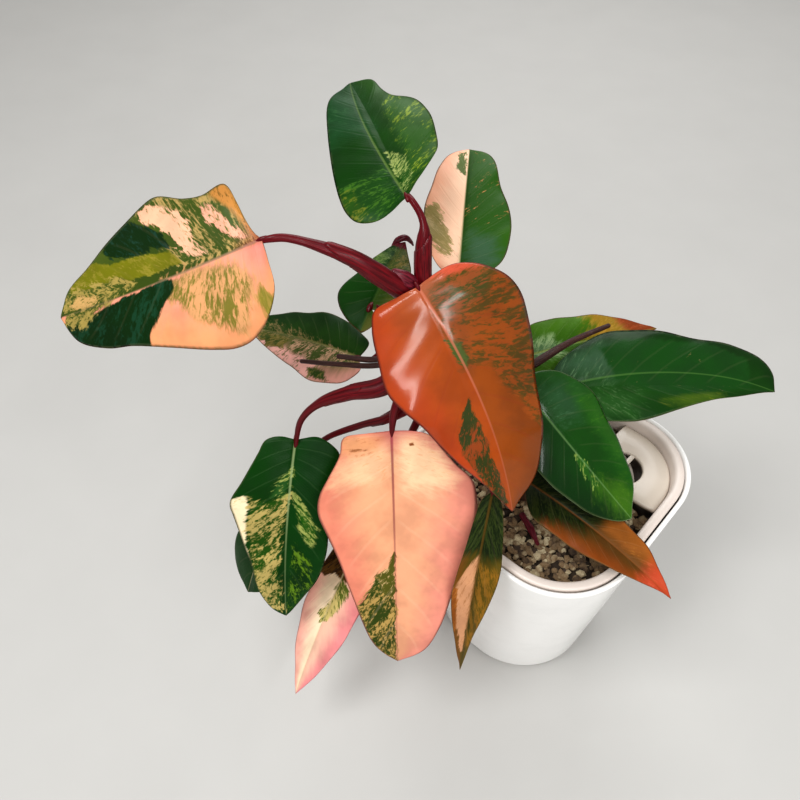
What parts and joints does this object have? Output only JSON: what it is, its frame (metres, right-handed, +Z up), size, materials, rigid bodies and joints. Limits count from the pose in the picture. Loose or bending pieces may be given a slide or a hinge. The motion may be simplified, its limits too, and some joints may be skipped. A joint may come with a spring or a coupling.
{
  "type": "potted philodendron",
  "caption": "Potted philodendron with large variegated leaves on burgundy petioles, leaning over one side of a rounded-square planter with a liner, grit and a water fill hole.",
  "frame": {"origin": "the middle of the pot's foot, on the surface it stands on", "axes": "+Z up; +Y towards the back of the plant, away from the side where the large pink leaf hangs; +X towards the pot's corner with the fill hole; the plant leans towards -X"},
  "size_m": [0.5096, 0.2685, 0.4956],
  "materials": {
    "pot": "white, glossy",
    "liner": "warm white, satin gloss",
    "deck": "pale beige, satin gloss",
    "grit": "tan and grey stones, matt",
    "stem": "brown, rough",
    "petiole": "burgundy with a purple sheen, glossy",
    "stub": "dark brown-red, satin",
    "cataphyll": "dry purple-red sheath, creased",
    "blade_01_top": "dark green, with a grey sheen and yellow-green streaks; satin gloss",
    "blade_02_upper_right": "left half peach-pink with an olive patch, right half green; satin gloss",
    "blade_03_left": "patches of peach, pink, dark green and olive, with a thin red margin; satin gloss",
    "blade_04_back_small": "left half green, right half olive and tan; satin gloss",
    "blade_05_back_left": "green above the midrib, pink and tan below; satin gloss",
    "blade_06_left_low": "dark green with cream patches and speckles; satin gloss",
    "blade_06b_left_hidden": "dark green; satin gloss",
    "blade_07_front": "peach and pink, an olive patch beside the midrib, a thin red margin; satin gloss",
    "blade_08_orange": "glossy coral and orange, mottled brown-olive on the right half; satin gloss",
    "blade_09_back_right": "green, turning orange and red at the tip; satin gloss",
    "blade_10_right": "deep green with light specks and a slight red edge; satin gloss",
    "blade_11_right_front": "green with a pale midrib; satin gloss",
    "blade_12_low_pink": "pink with green patches near the base; satin gloss",
    "blade_13_hanging": "dark bronze and olive with a pink stripe; satin gloss",
    "blade_14_low_right": "olive at the base, orange to red at the tip; satin gloss"
  },
  "bodies": {
    "root": {"blade_01_top": "blade_01_top", "blade_02_upper_right": "blade_02_upper_right", "blade_03_left": "blade_03_left", "blade_04_back_small": "blade_04_back_small", "blade_05_back_left": "blade_05_back_left", "blade_06_left_low": "blade_06_left_low", "blade_06b_left_hidden": "blade_06b_left_hidden", "blade_07_front": "blade_07_front", "blade_08_orange": "blade_08_orange", "blade_09_back_right": "blade_09_back_right", "blade_10_right": "blade_10_right", "blade_11_right_front": "blade_11_right_front", "blade_12_low_pink": "blade_12_low_pink", "blade_13_hanging": "blade_13_hanging", "blade_14_low_right": "blade_14_low_right", "cataphyll_crown": "cataphyll", "cataphyll_fallen": "cataphyll", "fill_deck": "deck", "fill_shaft": "deck", "liner": "liner", "outer_pot": "pot", "petiole_01_top": "petiole", "petiole_02_upper_right": "petiole", "petiole_03_left": "petiole", "petiole_04_back_small": "petiole", "petiole_05_back_left": "petiole", "petiole_06_left_low": "petiole", "petiole_06b_left_hidden": "petiole", "petiole_07_front": "petiole", "petiole_08_orange": "petiole", "petiole_09_back_right": "petiole", "petiole_10_right": "petiole", "petiole_11_right_front": "petiole", "petiole_12_low_pink": "petiole", "petiole_13_hanging": "petiole", "petiole_14_low_right": "petiole", "stem": "stem", "stub_left_high": "stub", "stub_left_low": "stub", "stub_right": "stub", "substrate": "grit"}
  },
  "joints": []
}
